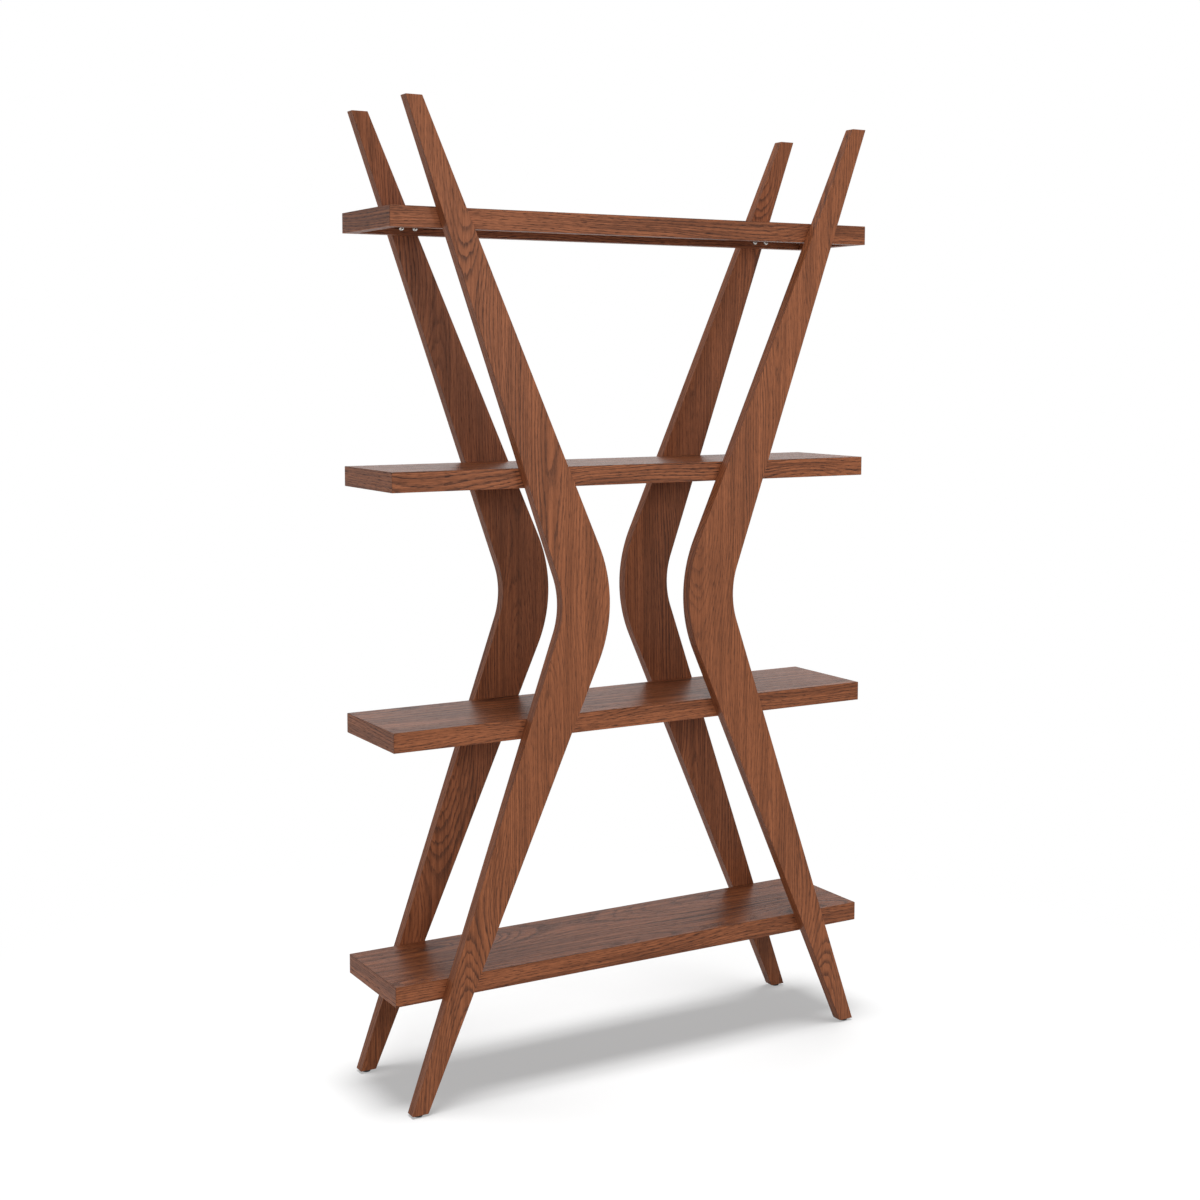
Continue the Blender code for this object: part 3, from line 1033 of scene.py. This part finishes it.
def turn_on_lathe(name, profile, steps):
    """Turn a profile of (radius, height) points round the Z axis."""
    item = begin_point(name, (profile[0][0], 0, profile[0][1]))
    for radius, height in profile[1:]:
        draw_to(item, (radius, 0, height))
    bpy.ops.mesh.select_all(action="SELECT")
    bpy.ops.mesh.spin(steps=steps, angle=2 * pi, center=(0, 0, 0), axis=(0, 0, 1))
    bpy.ops.object.mode_set(mode="OBJECT")
    face_outwards(item)
    return item


def make_bolt(sizes, length):
    """A button-head bolt along Z, its head's seat at zero and its thread below."""
    shank = sizes.bolt_diameter / 2
    head = sizes.bolt_head_diameter / 2
    corner = sizes.bolt_key / sqrt(3)
    flat = corner + sizes.bolt_key_land
    dome = sizes.bolt_head_height - sizes.bolt_head_rim
    profile = [(0, sizes.bolt_head_height)]
    for step in range(DOME_STEPS + 1):
        turn = pi / 2 * step / DOME_STEPS
        profile.append((flat + (head - flat) * sin(turn), sizes.bolt_head_rim + dome * cos(turn)))
    profile += [(head, 0), (shank, 0)]
    groove = sizes.thread_pitch * sqrt(3) / 4
    turns = int(length / sizes.thread_pitch) - 1
    for turn in range(1, turns):
        height = -turn * sizes.thread_pitch
        profile += [(shank, height), (shank - groove, height - sizes.thread_pitch / 2)]
    profile += [(shank, -turns * sizes.thread_pitch), (shank - groove, -length), (0, -length)]
    bolt = turn_on_lathe("bolt", profile, BOLT_SIDES)
    key_floor = (0, 0, sizes.bolt_head_height - sizes.bolt_key_depth)
    key = begin_rod("bolt_key", corner, key_floor, (0, 0, sizes.bolt_head_height + OVERRUN), KEY_SIDES)
    cut_with(bolt, key)
    discard(key)
    return bolt


class ETAGERE_OT_add_bolts(bpy.types.Operator):
    """Add the button-head bolts that hold the shelves to the legs"""

    bl_idname = "etagere.add_bolts"
    bl_label = "Add bolts"

    def execute(self, context):
        sizes = context.scene.etagere_sizes
        zinc = make_bolt_metal()
        inner, outer = bolt_place(SHELVES[0], "back", "right", "inner")[1:3]
        seat = inner + sizes.bolt_head_height
        bolt = make_bolt(sizes, outer - seat)
        for shelf in SHELVES:
            for face, front in FACES.items():
                for side in SIDES:
                    for spot in SPOTS:
                        x, _, _, z = bolt_place(shelf, face, side, spot)
                        node = f"{shelf}_{face}_{side}_{spot}_bolt"
                        piece = copy_of(bolt, f"{node}_threaded")
                        take(piece)
                        piece.rotation_euler = (front * pi / 2, 0, 0)
                        piece.location = (x, front * seat, z)
                        bpy.ops.object.transform_apply(location=True, rotation=True, scale=False)
                        even_shading(piece)
                        finish_piece(piece, zinc, "bolt_steel", node)
        discard(bolt)
        return {"FINISHED"}


class ETAGERE_OT_add_glides(bpy.types.Operator):
    """Add the nailed floor glides under the feet"""

    bl_idname = "etagere.add_glides"
    bl_label = "Add glides"

    def execute(self, context):
        sizes = context.scene.etagere_sizes
        plastic = make_glide_plastic()
        low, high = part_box("back_right_glide")
        radius = (high.x - low.x) / 2
        nail = sizes.nail_diameter / 2
        nail_shoulder = high.z - sizes.nail_diameter
        thickness = sizes.glide_thickness
        rounding = sizes.glide_edge_round
        profile = [(0, 0)]
        for step in range(GLIDE_ROUND_STEPS + 1):
            turn = pi / 2 * step / GLIDE_ROUND_STEPS
            profile.append((radius - rounding + rounding * sin(turn), rounding - rounding * cos(turn)))
        profile += [(radius, thickness), (nail, thickness), (nail, nail_shoulder), (0, high.z)]
        glide = turn_on_lathe("glide", profile, GLIDE_SIDES)
        for face in FACES:
            for side in SIDES:
                low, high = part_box(f"{face}_{side}_glide")
                middle = (low + high) / 2
                piece = copy_of(glide, f"{face}_{side}_glide_moulded")
                shift_mesh(piece, (middle.x, middle.y, 0))
                even_shading(piece)
                finish_piece(piece, plastic, "glide_plastic", f"{face}_{side}_glide")
        discard(glide)
        return {"FINISHED"}


# Studio


def seen_rays(node):
    """One for rays that show the backdrop: to the camera, in reflections and through clear parts."""
    rays = node("LightPath").node.outputs
    seen = rays["Is Camera Ray"]
    for kind in ("Is Glossy Ray", "Is Transmission Ray"):
        seen = node("Math", {0: seen, 1: rays[kind]}, operation="MAXIMUM")
    return seen


def make_floor(studio):
    """A wide pale floor that shows white, with the shadow of the etagere on it."""
    leave_all()
    bpy.ops.mesh.primitive_plane_add(size=FLOOR_SIZE, location=(0, 0, 0))
    floor = named("studio_floor")
    material, tree, node = new_material("studio_floor")
    tree.nodes.remove(tree.nodes["Principled BSDF"])
    plain = node("BsdfDiffuse", {"Color": (studio.floor_bounce,) * 3 + (1.0,)})
    lit = node("BsdfDiffuse", {"Color": (studio.floor_white,) * 3 + (1.0,)})
    lift = node("Emission", {"Color": WHITE, "Strength": studio.floor_lift})
    near = node("AddShader", {0: lit, 1: lift})
    far = node("Emission", {"Color": WHITE, "Strength": 1.0})
    away = node("VectorMath", {0: node("TexCoord", out=3)}, out=1, operation="LENGTH")
    reach = {0: away, 1: studio.floor_reach * UNFADED_SHARE, 2: studio.floor_reach}
    fade = node("MapRange", reach, interpolation_type="SMOOTHSTEP")
    shown = node("MixShader", {0: fade, 1: near, 2: far})
    look = node("MixShader", {0: seen_rays(node), 1: plain, 2: shown})
    fill_inputs(tree, tree.nodes["Material Output"], {"Surface": look})
    floor.data.materials.append(material)
    return floor


def make_room(studio):
    """A light room round the etagere that is plain white to the camera and in reflections."""
    world = bpy.data.worlds.new("studio_room")
    bpy.context.scene.world = world
    world.use_nodes = True
    tree = world.node_tree
    tree.nodes.remove(tree.nodes["Background"])
    node = node_adder(tree)
    room = node("Background", {"Color": WHITE, "Strength": studio.room_strength})
    backdrop = node("Background", {"Color": WHITE, "Strength": 1.0})
    look = node("MixShader", {0: seen_rays(node), 1: room, 2: backdrop})
    fill_inputs(tree, tree.nodes["World Output"], {"Surface": look})


def add_lamp(name, watts):
    """One of the wide soft lamps, pointed at its target."""
    leave_all()
    place, target, size = LAMPS[name]
    aim = (Vector(target) - Vector(place)).to_track_quat("-Z", "Y").to_euler()
    bpy.ops.object.light_add(type="AREA", location=place, rotation=aim)
    lamp = bpy.context.object
    lamp.name = name
    lamp.data.shape = "SQUARE"
    lamp.data.size = size
    lamp.data.energy = watts
    return lamp


def group_of(name, items):
    """A group that lamps can be linked to."""
    group = bpy.data.collections.new(name)
    for item in items:
        group.objects.link(item)
    return group


class ETAGERE_OT_add_studio(bpy.types.Operator):
    """Add the floor, the light room, the lamps and the camera, once the etagere stands"""

    bl_idname = "etagere.add_studio"
    bl_label = "Add studio"

    def execute(self, context):
        studio = context.scene.etagere_studio
        floor = make_floor(studio)
        make_room(studio)
        lamps = (
            add_lamp("ceiling_lamp", studio.ceiling_watts),
            add_lamp("key_lamp", studio.key_watts),
            add_lamp("fill_lamp", studio.fill_watts),
        )
        # The floor has an overhead lamp of its own and shows only the shadow of what stands close to it
        all_but_floor = group_of("all_but_floor", [floor])
        all_but_floor.collection_objects[0].light_linking.link_state = "EXCLUDE"
        for lamp in lamps:
            lamp.light_linking.receiver_collection = all_but_floor
        meshes = [item for item in context.scene.objects if item.type == "MESH"]
        low_kinds = (SHELVES[0], "leg", "glide")
        low = [item for item in meshes if any(kind in item.name for kind in low_kinds)]
        floor_lamp = add_lamp("floor_lamp", studio.floor_watts)
        floor_lamp.data.shape = "DISK"
        floor_lamp.light_linking.receiver_collection = group_of("floor_only", [floor])
        floor_lamp.light_linking.blocker_collection = group_of("close_to_floor", low)
        leave_all()
        tilt = (pi / 2 + studio.camera_tilt, 0, -studio.camera_turn)
        bpy.ops.object.camera_add(location=studio.camera_place, rotation=tilt)
        camera = context.object
        camera.name = "photo_camera"
        camera.data.lens = studio.lens
        camera.data.shift_x = studio.shift[0]
        camera.data.shift_y = studio.shift[1]
        context.scene.camera = camera
        context.scene.view_settings.view_transform = "Standard"
        return {"FINISHED"}


class ETAGERE_PT_sidebar(bpy.types.Panel):
    """Sizes, finishes and the steps that build the etagere"""

    bl_label = "Etagere"
    bl_idname = "ETAGERE_PT_sidebar"
    bl_space_type = "VIEW_3D"
    bl_region_type = "UI"
    bl_category = "Etagere"

    def draw(self, context):
        scene = context.scene
        for title, group in (
            ("Sizes", scene.etagere_sizes),
            ("Finishes", scene.etagere_finishes),
            ("Studio", scene.etagere_studio),
        ):
            box = self.layout.box()
            box.label(text=title)
            for name in group.__annotations__:
                box.prop(group, name)
        for step in STEPS:
            self.layout.operator(step.bl_idname)


STEPS = (
    ETAGERE_OT_add_legs,
    ETAGERE_OT_add_shelves,
    ETAGERE_OT_add_bolts,
    ETAGERE_OT_add_glides,
    ETAGERE_OT_add_studio,
)
GROUPS = {
    "etagere_sizes": EtagereSizes,
    "etagere_finishes": EtagereFinishes,
    "etagere_studio": EtagereStudio,
}


def register():
    for item in (*GROUPS.values(), *STEPS, ETAGERE_PT_sidebar):
        bpy.utils.register_class(item)
    for name, group in GROUPS.items():
        setattr(bpy.types.Scene, name, PointerProperty(type=group))


def unregister():
    for name in GROUPS:
        delattr(bpy.types.Scene, name)
    for item in (ETAGERE_PT_sidebar, *reversed(STEPS), *GROUPS.values()):
        bpy.utils.unregister_class(item)


def main():
    register()
    bpy.ops.etagere.add_legs()
    bpy.ops.etagere.add_shelves()
    bpy.ops.etagere.add_bolts()
    bpy.ops.etagere.add_glides()
    bpy.ops.etagere.add_studio()


if __name__ == "__main__":
    main()
